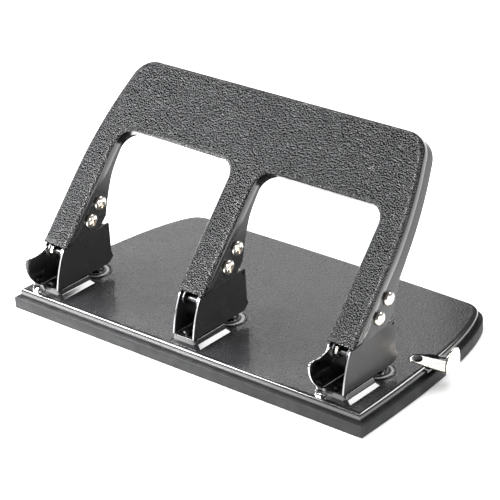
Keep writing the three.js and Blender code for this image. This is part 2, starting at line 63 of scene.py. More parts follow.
STOP = (51.0, 43.0)
FACE_START = (13.2, 44.0)
FACE_TILT = math.radians(47.2)
FACE_LENGTH = 123.7
WINDOW_TOP = 80.3
ARM_HALF = 9.3
SIDE_TAPER = 14.0
RIM = 1.3
SKIRT = 6.8
PAD_THICK = 2.1
FRAME_SHEET = 1.1
GAP = 0.3
SCREWS = ((36.8, 52.6), (45.3, 61.1))
RIVET_Y = (10.0, 27.0)
GUIDE_PIVOT = (117.5, 70.0)


# ---- mesh helpers ---------------------------------------------------------------------------
def place(x, y, z):
    """A drawing point in millimetres as a frame point in metres."""
    return Vector((x, y - DEPTH / 2, z)) * 0.001


def add_piece(name, points, faces, body, material, node=None, smooth=35.0):
    """One visible piece made of points in millimetres, riding on a body."""
    mesh = bpy.data.meshes.new(name)
    mesh.from_pydata([place(*p) for p in points], [], faces)
    bm = bmesh.new()
    bm.from_mesh(mesh)
    bmesh.ops.remove_doubles(bm, verts=bm.verts, dist=1e-7)
    bmesh.ops.dissolve_degenerate(bm, edges=bm.edges, dist=1e-7)
    bmesh.ops.recalc_face_normals(bm, faces=bm.faces)
    bm.to_mesh(mesh)
    bm.free()
    obj = bpy.data.objects.new(name, mesh)
    bpy.context.scene.collection.objects.link(obj)
    finish_piece(obj, body, material, node, smooth)
    return obj


def finish_piece(obj, body, material, node, smooth):
    """Shading, material and place in the assembly."""
    for poly in obj.data.polygons:
        poly.use_smooth = True
    obj.data.set_sharp_from_angle(angle=math.radians(smooth))
    obj.data.materials.clear()
    obj.data.materials.append(MATERIALS[material]())
    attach(obj, body)
    if node:
        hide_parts(node)


def second_material(obj, material, chosen):
    """Gives the chosen faces their own surface."""
    obj.data.materials.append(MATERIALS[material]())
    for poly in obj.data.polygons:
        if chosen(poly):
            poly.material_index = 1


def inset(points, distance):
    """A closed anticlockwise polygon moved inwards, with mitred corners."""
    result = []
    for i, p in enumerate(points):
        u = (p - points[i - 1]).normalized()
        v = (points[(i + 1) % len(points)] - p).normalized()
        k = distance / (1 + u.dot(v))
        result.append(Vector((p.x - (u.y + v.y) * k, p.y + (u.x + v.x) * k)))
    return result


def skin(rings, closed=False):
    """Quads between rings of equal length; ends are capped unless the stack closes on itself."""
    count = len(rings[0])
    points = [p for ring in rings for p in ring]
    faces = []
    last = len(rings) if closed else len(rings) - 1
    for k in range(last):
        a = k * count
        b = (k + 1) % len(rings) * count
        for i in range(count):
            j = (i + 1) % count
            faces.append((a + i, a + j, b + j, b + i))
    if not closed:
        for start in (0, (len(rings) - 1) * count):
            ring = [Vector(p) for p in points[start:start + count]]
            faces.extend(tuple(start + i for i in tri) for tri in tessellate_polygon([ring]))
    return points, faces


def bezier(a, b, c, d, steps):
    """Points of a cubic curve after its first point."""
    pts = interpolate_bezier(Vector((*a, 0)), Vector((*b, 0)), Vector((*c, 0)), Vector((*d, 0)), steps + 1)
    return [Vector((p.x, p.y)) for p in pts[1:]]


def arc(cx, cy, r, start, end, steps):
    """Points of an arc, angles in degrees."""
    angles = [math.radians(start + (end - start) * i / steps) for i in range(steps + 1)]
    return [Vector((cx + r * math.cos(a), cy + r * math.sin(a))) for a in angles]


def rounded_profile(depth, radius, steps=5):
    """(inset, depth) pairs of a plate's edge rounded on both faces, with a flat border ring."""
    pairs = [(radius + 0.35, 0.0)]
    for i in range(steps + 1):
        a = math.pi / 2 * i / steps
        pairs.append((radius * (1 - math.sin(a)), radius * (1 - math.cos(a))))
    for i in range(steps + 1):
        a = math.pi / 2 * i / steps
        pairs.append((radius * (1 - math.cos(a)), depth - radius * (1 - math.sin(a))))
    pairs.append((radius + 0.35, depth))
    return pairs


def plate(outline, thickness, radius, to_space):
    """A flat plate with rounded edges; to_space(u, v, w) gives its place in millimetres."""
    rings = []
    for shrink, w in rounded_profile(thickness, radius):
        rings.append([to_space(p.x, p.y, w) for p in inset(outline, shrink)])
    return skin(rings)


def merge(*parts):
    """Several (points, faces) sets as one."""
    points, faces = [], []
    for part_points, part_faces in parts:
        start = len(points)
        points.extend(part_points)
        faces.extend(tuple(start + i for i in face) for face in part_faces)
    return points, faces


def turned(profile, to_space, steps=40):
    """A body of revolution; profile is (radius, height) pairs, to_space(a, b, h) places it."""
    rings = []
    for i in range(steps):
        a = 2 * math.pi * i / steps
        rings.append([to_space(r * math.cos(a), r * math.sin(a), h) for r, h in profile])
    points = [p for ring in rings for p in ring]
    faces = []
    count = len(profile)
    for i in range(steps):
        a = i * count
        b = (i + 1) % steps * count
        for k in range(count - 1):
            faces.append((a + k, b + k, b + k + 1, a + k + 1))
    return points, faces


def upright(x, y):
    return lambda a, b, h: (x + a, y + b, h)


def sideways(x, y, z, side=1):
    return lambda a, b, h: (x + side * h, y + a, z + b)


def boolean(obj, cutter_data, operation="DIFFERENCE"):
    """Cuts or joins with a helper body that is removed afterwards."""
    mesh = bpy.data.meshes.new("cutter")
    mesh.from_pydata([place(*p) for p in cutter_data[0]], [], cutter_data[1])
    bm = bmesh.new()
    bm.from_mesh(mesh)
    bmesh.ops.recalc_face_normals(bm, faces=bm.faces)
    bm.to_mesh(mesh)
    bm.free()
    cutter = bpy.data.objects.new("cutter", mesh)
    bpy.context.scene.collection.objects.link(cutter)
    modifier = obj.modifiers.new("cut", "BOOLEAN")
    modifier.operation = operation
    modifier.solver = "EXACT"
    modifier.object = cutter
    graph = bpy.context.evaluated_depsgraph_get()
    result = bpy.data.meshes.new_from_object(obj.evaluated_get(graph))
    obj.modifiers.remove(modifier)
    obj.data = result
    bpy.data.objects.remove(cutter)


# ---- materials ------------------------------------------------------------------------------
class Surface:
    """A small builder for one procedural material."""

    def __init__(self, name, color, metallic=0.0, roughness=0.5, coat=0.0, specular=0.5):
        self.material = bpy.data.materials.new(name)
        self.material.use_nodes = True
        self.tree = self.material.node_tree
        self.shader = self.tree.nodes["Principled BSDF"]
        self.color = color
        self.roughness = roughness
        self.shader.inputs["Base Color"].default_value = (*color, 1)
        self.shader.inputs["Metallic"].default_value = metallic
        self.shader.inputs["Roughness"].default_value = roughness
        self.shader.inputs["Specular IOR Level"].default_value = specular
        self.shader.inputs["Coat Weight"].default_value = coat
        self.shader.inputs["Coat Roughness"].default_value = 0.12
        self.coords = self.tree.nodes.new("ShaderNodeTexCoord").outputs["Object"]
        self.heights = []

    def link(self, a, b):
        self.tree.links.new(a, b)

    def noise(self, scale, detail=3.0, rough=0.55, stretch=None):
        node = self.tree.nodes.new("ShaderNodeTexNoise")
        node.inputs["Scale"].default_value = scale
        node.inputs["Detail"].default_value = detail
        node.inputs["Roughness"].default_value = rough
        self.link(self.mapped(stretch), node.inputs["Vector"])
        return node.outputs["Fac"]

    def mapped(self, stretch):
        if stretch is None:
            return self.coords
        node = self.tree.nodes.new("ShaderNodeMapping")
        node.inputs["Scale"].default_value = stretch
        self.link(self.coords, node.inputs["Vector"])
        return node.outputs["Vector"]

    def cells(self, scale, smooth=0.4, randomness=1.0, warp=0.0):
        node = self.tree.nodes.new("ShaderNodeTexVoronoi")
        node.feature = "SMOOTH_F1"
        node.inputs["Scale"].default_value = scale
        node.inputs["Smoothness"].default_value = smooth
        node.inputs["Randomness"].default_value = randomness
        vector = self.coords
        if warp:
            shift = self.tree.nodes.new("ShaderNodeTexNoise")
            shift.inputs["Scale"].default_value = scale * 0.6
            self.link(self.coords, shift.inputs["Vector"])
            add = self.tree.nodes.new("ShaderNodeVectorMath")
            add.operation = "MULTIPLY_ADD"
            add.inputs[1].default_value = (warp, warp, warp)
            self.link(shift.outputs["Color"], add.inputs[0])
            self.link(self.coords, add.inputs[2])
            vector = add.outputs["Vector"]
        self.link(vector, node.inputs["Vector"])
        return node.outputs["Distance"]

    def ranged(self, value, low, high, start=0.3, end=0.7):
        node = self.tree.nodes.new("ShaderNodeMapRange")
        node.inputs["From Min"].default_value = start
        node.inputs["From Max"].default_value = end
        node.inputs["To Min"].default_value = low
        node.inputs["To Max"].default_value = high
        self.link(value, node.inputs["Value"])
        return node.outputs["Result"]

    def tint(self, value, factor_low, factor_high, start=0.3, end=0.7):
        """Varies the base colour between two multiples of itself."""
        node = self.tree.nodes.new("ShaderNodeMix")
        node.data_type = "RGBA"
        node.inputs["A"].default_value = (*(c * factor_low for c in self.color), 1)
        node.inputs["B"].default_value = (*(c * factor_high for c in self.color), 1)
        self.link(self.ranged(value, 0, 1, start, end), node.inputs["Factor"])
        self.link(node.outputs["Result"], self.shader.inputs["Base Color"])
        return self

    def gloss(self, value, low, high, start=0.3, end=0.7):
        self.link(self.ranged(value, low, high, start, end), self.shader.inputs["Roughness"])
        return self

    def bump(self, value, distance, strength=1.0, invert=False):
        node = self.tree.nodes.new("ShaderNodeBump")
        node.inputs["Distance"].default_value = distance
        node.inputs["Strength"].default_value = strength
        node.invert = invert
        self.link(value, node.inputs["Height"])
        if self.heights:
            self.link(self.heights[-1], node.inputs["Normal"])
        self.heights.append(node.outputs["Normal"])
        self.link(node.outputs["Normal"], self.shader.inputs["Normal"])
        return self


def cached(maker):
    """Each material is made once, at its first use."""
    store = []

    def get():
        if not store:
            store.append(maker())
        return store[0]
    return get


@cached
def grip_skin():
    s = Surface("grip_skin", (0.007, 0.0072, 0.008), roughness=0.2, specular=0.75)
    pebble = s.cells(1000, smooth=0.2, warp=0.0006)
    s.bump(pebble, 0.0015, 0.95, invert=True)
    s.bump(s.noise(2600, 2), 0.00015, 0.5)
    s.gloss(pebble, 0.12, 0.26, 0.0, 0.6)
    return s.tint(s.noise(60, 3), 0.85, 1.2).material


# Smooth glossy roll and skirt of the grip. The smooth finish is real; the colour darker than the textured
# face is painted shade on the roll turned away from the lights.
@cached
def grip_edge():
    s = Surface("grip_edge", (0.003, 0.003, 0.0035), roughness=0.2, coat=0.4, specular=0.8)
    s.bump(s.noise(600, 2), 0.00004, 0.5)
    s.gloss(s.noise(90, 4), 0.14, 0.22)
    return s.tint(s.noise(60, 3), 0.85, 1.2).material


@cached
def handle_paint():
    s = Surface("handle_paint", (0.012, 0.0122, 0.013), roughness=0.26, coat=0.15, specular=0.6)
    s.bump(s.noise(700, 2), 0.00004, 0.5)
    s.gloss(s.noise(90, 4), 0.22, 0.34)
    return s.tint(s.noise(35, 3), 0.9, 1.12).material


@cached
def base_grain():
    s = Surface("base_grain", (0.011, 0.0112, 0.0122), roughness=0.24, coat=0.3, specular=0.7)
    wrinkle = s.cells(850, smooth=0.3, warp=0.0014)
    s.bump(wrinkle, 0.00055, 0.75, invert=True)
    s.bump(s.noise(2000, 2), 0.0001, 0.4)
    s.gloss(wrinkle, 0.2, 0.34, 0.0, 0.6)
    return s.tint(s.noise(25, 3), 0.85, 1.2).material


@cached
def base_rim():
    s = Surface("base_rim", (0.012, 0.012, 0.013), roughness=0.12, coat=0.5, specular=0.8)
    s.bump(s.noise(400, 2), 0.00004, 0.4)
    s.gloss(s.noise(120, 4), 0.09, 0.18)
    return s.tint(s.noise(30, 3), 0.9, 1.15).material


# Lighter bare metal for the cheeks' and web's front-facing edges: a painted highlight standing in for the
# bright line along the black paint.
@cached
def sheared_edge():
    return metal("sheared_edge", (0.42, 0.42, 0.43), 0.3, (1, 1, 0.2))


@cached
def bracket_paint():
    s = Surface("bracket_paint", (0.01, 0.01, 0.011), roughness=0.3, coat=0.1, specular=0.5)
    s.bump(s.noise(900, 3), 0.00004, 0.5)
    s.gloss(s.noise(140, 4), 0.26, 0.42)
    return s.tint(s.noise(60, 3), 0.85, 1.25).material


@cached
def tray_plastic():
    s = Surface("tray_plastic", (0.008, 0.0082, 0.009), roughness=0.5, specular=0.35)
    s.bump(s.noise(1800, 3), 0.00007, 0.6)
    s.gloss(s.noise(150, 3), 0.48, 0.64)
    return s.tint(s.noise(40, 3), 0.9, 1.15).material


def metal(name, color, roughness, scratch=(1, 1, 1), depth=0.00002):
    s = Surface(name, color, metallic=1.0, roughness=roughness)
    s.bump(s.noise(900, 3, stretch=scratch), depth, 0.5)
    s.gloss(s.noise(260, 4, stretch=scratch), roughness * 0.8, roughness * 1.35)
    return s.tint(s.noise(120, 3), 0.93, 1.04).material


@cached
def nickel():
    return metal("nickel", (0.80, 0.76, 0.70), 0.2)


@cached
def chrome_plate():
    return metal("chrome_plate", (0.84, 0.84, 0.83), 0.12, (1, 0.2, 0.2))


@cached
def tool_steel():
    return metal("tool_steel", (0.55, 0.55, 0.55), 0.28, (1, 1, 0.15))


@cached
def die_steel():
    s = Surface("die_steel", (0.03, 0.03, 0.032), roughness=0.18, coat=0.4, specular=0.8)
    s.bump(s.noise(700, 2), 0.00003, 0.4)
    s.gloss(s.noise(140, 4), 0.12, 0.26)
    return s.tint(s.noise(70, 3), 0.85, 1.2).material


@cached
def pin_steel():
    return metal("pin_steel", (0.6, 0.59, 0.56), 0.3, (0.15, 1, 1))


@cached
def spring_steel():
    return metal("spring_steel", (0.5, 0.5, 0.5), 0.3)


@cached
def lever_steel():
    return metal("lever_steel", (0.09, 0.09, 0.095), 0.35, (1, 0.3, 0.3))


@cached
def black_steel():
    return metal("black_steel", (0.05, 0.05, 0.052), 0.32)


MATERIALS = {
    "grip_skin": grip_skin, "grip_edge": grip_edge, "handle_paint": handle_paint,
    "base_grain": base_grain, "base_rim": base_rim, "sheared_edge": sheared_edge,
    "bracket_paint": bracket_paint, "tray_plastic": tray_plastic, "nickel": nickel,
    "chrome_plate": chrome_plate, "tool_steel": tool_steel, "pin_steel": pin_steel, "die_steel": die_steel,
    "spring_steel": spring_steel, "lever_steel": lever_steel, "black_steel": black_steel,
}
SLOT_OF = {name: name for name in MATERIALS}
SLOT_OF.update(base_grain="base_paint", base_rim="base_paint", die_steel="tool_steel",
               grip_edge="grip_skin", sheared_edge="bracket_paint")


# ---- plan outline of tray and base ----------------------------------------------------------
def plan_outline():
    half = [Vector((132.2, 0.0))]
    half += bezier((132.2, 0), (132.2, 60), (128, 105), (118.5, 129), 24)
    half += bezier((118.5, 129), (114.5, 139.2), (111, 144), (102, 145), 14)
    half += bezier((102, 145), (70.7, 146.07), (36.7, DEPTH), (0, DEPTH), 14)
    mirrored = [Vector((-p.x, p.y)) for p in reversed(half[:-1])]
    return half + mirrored


OUTLINE = plan_outline()


def plan_ring(shrink, z):
    return [(p.x, p.y, z) for p in inset(OUTLINE, shrink)]


def edge_round(shrink, top, radius, steps=6):
    """Rings of a convex rounded upper edge, from the side face to a flat border."""
    rings = []
    for i in range(steps + 1):
        a = math.pi / 2 * i / steps
        rings.append(plan_ring(shrink + radius * (1 - math.cos(a)), top - radius + radius * math.sin(a)))
    rings.append(plan_ring(shrink + radius + 0.4, top))
    return rings


def chip_tray():
    lip = PLATE_INSET + SHEET + 0.4
    rings = [plan_ring(1.3, 0.0), plan_ring(0.8, 0.0), plan_ring(0.25, 0.25), plan_ring(0, 0.8)]
    rings += edge_round(0, TRAY_TOP, 0.7, 4)
    rings += [plan_ring(lip, TRAY_TOP), plan_ring(lip, 9.5), plan_ring(lip + 0.3, 9.8)]
    rings += [plan_ring(lip + 1.1, 9.8), plan_ring(lip + 1.4, 9.5), plan_ring(lip + 1.4, 1.8)]
    rings.append(plan_ring(lip + 2.2, 1.8))
    points, faces = skin(rings)
    add_piece("chip_tray_body", points, faces, "chip_tray", "tray_plastic", "chip_tray")


# ---- base plate -----------------------------------------------------------------------------
def rounded_rectangle(x, hx, y0, y1, r, steps=6):
    points = arc(x + hx - r, y0 + r, r, -90, 0, steps)
    points += arc(x + hx - r, y1 - r, r, 0, 90, steps)
    points += arc(x - hx + r, y1 - r, r, 90, 180, steps)
    points += arc(x - hx + r, y0 + r, r, 180, 270, steps)
    return points


def platform_rings(x, shrink, low, high):
    """Pressed platform: splayed foot up to a soft shoulder, then nearly upright walls."""
    levels = [(-0.5, low), (0.0, low + 0.5), (0.25, low + 0.8), (1.9, low + 2.45), (2.2, low + 2.8),
              (2.35, low + 3.2), (2.6, high - 0.4), (2.75, high - 0.12), (3.05, high)]
    rings = []
    for step, z in levels:
        hx = 11.2 - step - shrink
        outline = rounded_rectangle(x, hx, 5.6 + step * 0.3 + shrink, 35.4 - step * 0.8 - shrink, 2.0)
        rings.append([(p.x, p.y, z) for p in outline])
    return rings


def pocket_plan(grow):
    px, py = GUIDE_PIVOT
    points = [Vector((px, py - 5 - grow)), Vector((136, 65 - grow)), Vector((136, 84 + grow)),
              Vector((px + 4, py + 8.6 + grow))]
    return points + arc(px, py, 5 + grow, 108, 262, 14)


def prism(outline, z0, z1):
    return skin([[(p.x, p.y, z0) for p in outline], [(p.x, p.y, z1) for p in outline]])


def base_plate():
    under = PLATE_TOP - SHEET
    inner = PLATE_INSET + SHEET
    skirt_low = TRAY_TOP + GAP
    rings = [plan_ring(inner + 2.2, under), plan_ring(inner + 1.6, under)]
    rings += [plan_ring(inner + 0.5, under - 0.5), plan_ring(inner, under - 1.6)]
    rings += [plan_ring(inner, skirt_low), plan_ring(PLATE_INSET, skirt_low)]
    rings += edge_round(PLATE_INSET, PLATE_TOP, 2.4, 8)
    points, faces = skin(rings)
    obj = add_piece("base_shell", points, faces, "base", "base_grain", "base_plate", 40)
    boolean(obj, clipped_pocket_floor(), "UNION")
    boolean(obj, prism(pocket_plan(0), 11.4, PLATE_TOP + 1))
    for x in HEADS.values():
        boolean(obj, skin(platform_rings(x, 0, PLATE_TOP - 0.5, WEB_LOW - GAP)), "UNION")
        boolean(obj, skin(platform_rings(x, SHEET, under - 0.8, WEB_LOW - GAP - SHEET)))
        boolean(obj, turned_bore(8.4, 8, 15, x, DIE_Y))
    finish_base(obj)


def clipped_pocket_floor():
    outline = [Vector((min(p.x, 129.0), p.y)) for p in pocket_plan(SHEET)]
    return prism(outline, 10.2, 12)


def turned_bore(r, z0, z1, x, y, steps=40):
    outline = arc(x, y, r, 0, 360 - 360 / steps, steps - 1)
    return prism(outline, z0, z1)


def finish_base(obj):
    """Grained upper face, smooth glossy edge."""
    obj.data.materials.clear()
    obj.data.materials.append(base_grain())
    obj.data.materials.append(base_rim())
    for poly in obj.data.polygons:
        poly.use_smooth = True
        c = poly.center * 1000
        flat = poly.normal.z > 0.99 and abs(c.z - PLATE_TOP) < 0.05 and poly.area > 2e-6
        poly.material_index = 0 if flat else 1
    obj.data.set_sharp_from_angle(angle=math.radians(40))


def die(tag, x):
    seat = PLATE_TOP + 0.05
    bore = HOLE_R + 0.1
    profile = [(bore, seat - 2.8), (8.1, seat - 2.8), (8.1, seat), (10.2, seat), (10.35, seat + 0.15),
               (10.3, seat + 0.45), (10.05, seat + 0.65), (9.7, seat + 0.62), (9.3, seat + 0.3),
               (8.9, seat + 0.2), (6.9, seat + 0.2), (6.6, seat + 0.3), (6.3, seat + 0.6), (5.9, seat + 0.65),
               (5.5, seat + 0.5), (5.1, seat + 0.1), (bore + 0.25, seat), (bore, seat - 0.25),
               (bore, seat - 2.8)]
    points, faces = turned(profile, upright(x, DIE_Y), 72)
    add_piece(f"die_ring_{tag}", points, faces, "base", "die_steel", f"die_{tag}", 60)


# ---- bracket --------------------------------------------------------------------------------
def cheek_outline():
    points = [Vector((WEB_FRONT, WEB_LOW)), Vector((49, WEB_LOW))]
    points += bezier((49, WEB_LOW), (51.4, 18.97), (53.3, 20.3), (54.6, 22.6), 6)
    points += bezier((54.6, 22.6), (53.7, 23.5), (53.2, 25), (53.2, 27), 4)
    points += [Vector((53.2, 43.6))]
    points += bezier((53.2, 43.6), (53.2, 44.5), (52.7, 45), (51.8, 45), 4)
    points += [Vector((46, 44.6)), Vector((16, 42.2))]
    points += bezier((16, 42.2), (14.6, 42.1), (13.7, 41.6), (13.2, 40.8), 4)
    points += bezier((13.2, 40.8), (9.3, 33), (7.0, 25.5), (WEB_FRONT, WEB_LOW), 12)[:-1]
    return points


def bracket(tag, x):
    thick = CHEEK_OUT - CHEEK_IN
    outline = cheek_outline()
    right = plate(outline, thick, 0.3, lambda u, v, w: (x + CHEEK_OUT - w, u, v))
    left = plate(outline, thick, 0.3, lambda u, v, w: (x - CHEEK_OUT + w, u, v))
    floor = rounded_rectangle(x, CHEEK_OUT - 0.25, WEB_FRONT + 0.05, 49, 0.6, 3)
    web = plate(floor, WEB_TOP - WEB_LOW, 0.3, lambda u, v, w: (u, v, WEB_LOW + w))
    tongue = rounded_rectangle(x, 6, 46, 52, 2.5, 5)
    tail = plate(tongue, WEB_TOP - WEB_LOW, 0.3, lambda u, v, w: (u, v, WEB_LOW + w))
    points, faces = merge(right, left, web, tail)
    obj = add_piece(f"bracket_channel_{tag}", points, faces, "base", "bracket_paint", f"bracket_{tag}", 40)
    boolean(obj, turned_bore(HOLE_R + GAP, WEB_LOW - 1.5, WEB_TOP + 1.5, x, DIE_Y))
    # Faces turned to the front get the lighter metal: a painted highlight along the cheek and web edges.
    second_material(obj, "sheared_edge", lambda poly: poly.normal.y < -0.45 and abs(poly.normal.x) < 0.75)


def rivet(name, x, y, low, top, node):
    profile = [(0, low - 1.3), (2.2, low - 1.3), (2.4, low - 1.1), (2.4, low - GAP), (1.5, low - GAP),
               (1.5, top + GAP), (2.6, top + GAP), (2.7, top + 0.5), (2.3, top + 1.1), (1.4, top + 1.5),
               (0, top + 1.6)]
    points, faces = turned(profile, upright(x, y), 32)
    add_piece(name, points, faces, "base", "black_steel", node, 30)


def pivot_pin(tag, x):
    axle = [(0, 7.7), (1.9, 7.7), (1.9, -8.1), (2.9, -8.1), (2.9, -8.7), (2.5, -9.05), (1.4, -9.2), (0, -9.2)]
    points, faces = turned(axle, sideways(x, *PIVOT), 40)
    add_piece(f"pivot_axle_{tag}", points, faces, "base", "black_steel", f"pivot_pin_{tag}", 30)
    collar = [(1.95, -6.75), (2.7, -6.75), (2.7, -6.2), (2.5, -5.95), (1.95, -5.9), (1.95, -6.75)]
    points, faces = turned(collar, sideways(x, *PIVOT), 32)
    add_piece(f"pivot_collar_{tag}", points, faces, "base", "pin_steel", None, 40)


def stop_pin(tag, x):
    half = [(0, 8.0), (0.9, 8.0), (1.2, 7.7)]
    profile = half + [(r, -h) for r, h in reversed(half)]
    points, faces = turned(profile, sideways(x, *STOP), 24)
    add_piece(f"stop_bar_{tag}", points, faces, "base", "pin_steel", f"stop_pin_{tag}", 40)


# ---- handle ---------------------------------------------------------------------------------
COS = math.cos(FACE_TILT)
SIN = math.sin(FACE_TILT)


def on_face(u, s, d):
    """Face coordinates: across, up the slope, depth behind the visible face."""
    return (u, FACE_START[0] + s * COS + d * SIN, FACE_START[1] + s * SIN - d * COS)


def side_half(s, grow=0.0):
    """Half the handle's width; it narrows towards the top."""
    t = max(0.0, (s - 45) / (FACE_LENGTH - 45))
    return PITCH + ARM_HALF - (SIDE_TAPER - grow) * t ** 2


def window_side(centre):
    """One window's edge from its low left end over the top to its low right end."""
    half = PITCH / 2 - ARM_HALF
    r = 11.0
    k = 0.45 * r
    left, right, top = centre - half, centre + half, WINDOW_TOP
    points = [Vector((left, s)) for s in (6, 14, 22, 30, 36, 42, 48, 54, 60, 66)]
    points += [Vector((left, top - r))]
    points += bezier((left, top - r), (left, top - k), (left + k, top), (left + r, top), 10)
    points += [Vector((left + r + (right - left - 2 * r) * i / 6, top)) for i in range(1, 7)]
    points += bezier((right - r, top), (right - k, top), (right, top - k), (right, top - r), 10)
    points += [Vector((right, s)) for s in (66, 60, 54, 48, 42, 36, 30, 22, 14, 6)]
    return points


def handle_outline(bottom, grow=0.0):
    """The comb-shaped outline of the handle, anticlockwise, three arms down."""
    top = FACE_LENGTH + grow
    half = PITCH / 2 - ARM_HALF
    points = [Vector((-side_half(0), bottom)), Vector((-PITCH / 2 - half, bottom))]
    points += window_side(-PITCH / 2)
    points += [Vector((-PITCH / 2 + half, bottom)), Vector((PITCH / 2 - half, bottom))]
    points += window_side(PITCH / 2)
    points += [Vector((PITCH / 2 + half, bottom)), Vector((side_half(0), bottom))]
    r = 14.0
    shoulder = top - r
    flank = [6, 14, 22, 30, 36, 42, 48, 54, 60] + [60 + (shoulder - 60) * i / 8 for i in range(1, 9)]
    right = [Vector((side_half(s, grow), s)) for s in flank]
    w = side_half(shoulder, grow)
    right += bezier((w, shoulder), (w - 1.5, top - 5.5), (w - 7.5, top), (w - 15, top), 14)
    left = [Vector((-p.x, p.y)) for p in reversed(right)]
    ridge = [Vector(((w - 15) * (1 - 2 * i / 12), top)) for i in range(1, 12)]
    return points + right + ridge + left


def interpolate(table, s):
    for (s0, d0), (s1, d1) in zip(table, table[1:]):
        if s <= s1:
            t = max(0.0, (s - s0) / (s1 - s0))
            return d0 + (d1 - d0) * t
    return table[-1][1]


def free_edge(u, s):
    """Depth of the flange's free edge: deep beside the screws, shallow round the windows."""
    along_bracket = 2.36 + 0.887 * s
    outer = abs(u) > PITCH + 2 or s > WINDOW_TOP + 6
    outside = [(26.6, 24.3), (34.1, 20.4), (40.5, 17.2), (48, 15), (60, 14.2), (80, 14)]
    around = [(26.6, 24.3), (34.1, 20.1), (39.7, 17.1), (46.9, 13.9), (54.4, 11.2), (61.9, 9.9), (70, 9.5)]
    return min(along_bracket, interpolate(outside if outer else around, s))


def handle_frame():
    bend = 2.3
    front = PAD_THICK + GAP
    low_end = 4.2
    outline = handle_outline(low_end, RIM)
    sections = []
    steps = 6
    sections.append((bend + 1.2, lambda p: front))
    for i in range(steps + 1):
        a = math.pi / 2 * i / steps
        depth = front + bend * (1 - math.cos(a))
        sections.append((bend * (1 - math.sin(a)), lambda p, d=depth: min(d, free_edge(p.x, p.y) + 1.5)))
    shortest = front + bend + 0.1

    def reach(p):
        """The low lip of each arm stays short, clear of the bracket when the handle is pressed."""
        return max(free_edge(p.x, p.y), shortest) if p.y > low_end + 0.4 else shortest

    sections.append((0.0, lambda p: reach(p) - 0.25))
    sections.append((0.25, reach))
    sections.append((FRAME_SHEET - 0.25, reach))
    sections.append((FRAME_SHEET, lambda p: reach(p) - 0.25))
    for i in range(steps, -1, -1):
        a = math.pi / 2 * i / steps
        r = bend - FRAME_SHEET
        sections.append((bend - r * math.sin(a), lambda p, d=front + FRAME_SHEET + r * (1 - math.cos(a)): d))
    sections.append((bend + 1.2, lambda p: front + FRAME_SHEET))
    rings = []
    for shrink, depth in sections:
        moved = inset(outline, shrink)
        rings.append([on_face(q.x, q.y, depth(p)) for p, q in zip(outline, moved)])
    points, faces = skin(rings)
    add_piece("handle_shell", points, faces, "handle", "handle_paint", "handle_frame", 40)


def pad_skin(outline):
    """The grip cover: textured face, wide soft roll, and a smooth skirt down over the frame's bend."""
    roll = 3.4
    pairs = [(roll + 0.5, 0.0)]
    for i in range(10):
        a = math.pi / 2 * i / 9
        pairs.append((roll * (1 - math.sin(a)), roll * (1 - math.cos(a))))
    pairs += [(0.0, SKIRT - 0.3), (0.08, SKIRT - 0.09), (0.25, SKIRT), (0.45, SKIRT - 0.1)]
    rings = []
    for shrink, d in pairs:
        moved = inset(outline, shrink)
        rings.append([on_face(q.x, q.y, min(d, skirt_end(q.y))) for q in moved])
    back = inset(outline, roll + 0.5)
    rings.append([on_face(q.x, q.y, min(PAD_THICK, skirt_end(q.y))) for q in back])
    return skin(rings)


def skirt_end(s):
    """The skirt runs out where the low end of an arm stands over its bracket."""
    return max(1.2, min(SKIRT, 1.6 + 0.95 * s))


def handle_pad():
    outline = inset(handle_outline(0.4, RIM), -0.25)
    points, faces = pad_skin(outline)
    obj = add_piece("handle_grip", points, faces, "handle", "grip_skin", "handle_pad", 60)
    facing = Vector((0, -SIN, COS))
    # Faces turned away from the grip face take the darker smooth surface: painted shade on the roll and
    # skirt.
    second_material(obj, "grip_edge", lambda poly: poly.normal.dot(facing) < 0.34)


def dome(r, height):
    """Profile of a domed head from its seat to its crown."""
    rim = 0.3
    points = [(r, 0.0)]
    for i in range(9):
        a = math.pi / 2 * i / 8
        points.append((r * math.cos(a), rim + (height - rim) * math.sin(a) ** 0.8))
    return points


def clamp_screw(tag, k, x, side, y, z):
    base = ARM_HALF + GAP
    profile = [(0, base - 6), (1.5, base - 6), (1.5, base)] + [(r, base + h) for r, h in dome(4.6, 1.9)]
    points, faces = turned(profile, sideways(x, y, z, side), 40)
    obj = add_piece(f"screw_{tag}_{k}", points, faces, "handle", "nickel", f"clamp_screw_{tag}_{k}", 40)
    crown = x + side * (base + 1.9)
    for hy, hz in ((2.7, 0.75), (0.75, 2.7)):
        boolean(obj, block(crown - 1.5, crown + 1.5, y - hy, y + hy, z - hz, z + hz))
    obj.data.set_sharp_from_angle(angle=math.radians(40))


def clamp_nut(tag, k, x, side, y, z):
    base = ARM_HALF + GAP
    profile = [(0, base - 2.5), (1.8, base - 2.5), (1.8, -base + 0.5), (2.2, -base + 0.5), (2.2, base)]
    profile += [(r, base + h) for r, h in dome(4.2, 2.3)]
    points, faces = turned(profile, sideways(x, y, z, -side), 40)
    add_piece(f"sleeve_nut_{tag}_{k}", points, faces, "handle", "nickel", f"clamp_nut_{tag}_{k}", 40)


def block(x0, x1, y0, y1, z0, z1):
    outline = [Vector((x0, y0)), Vector((x1, y0)), Vector((x1, y1)), Vector((x0, y1))]
    return prism(outline, z0, z1)


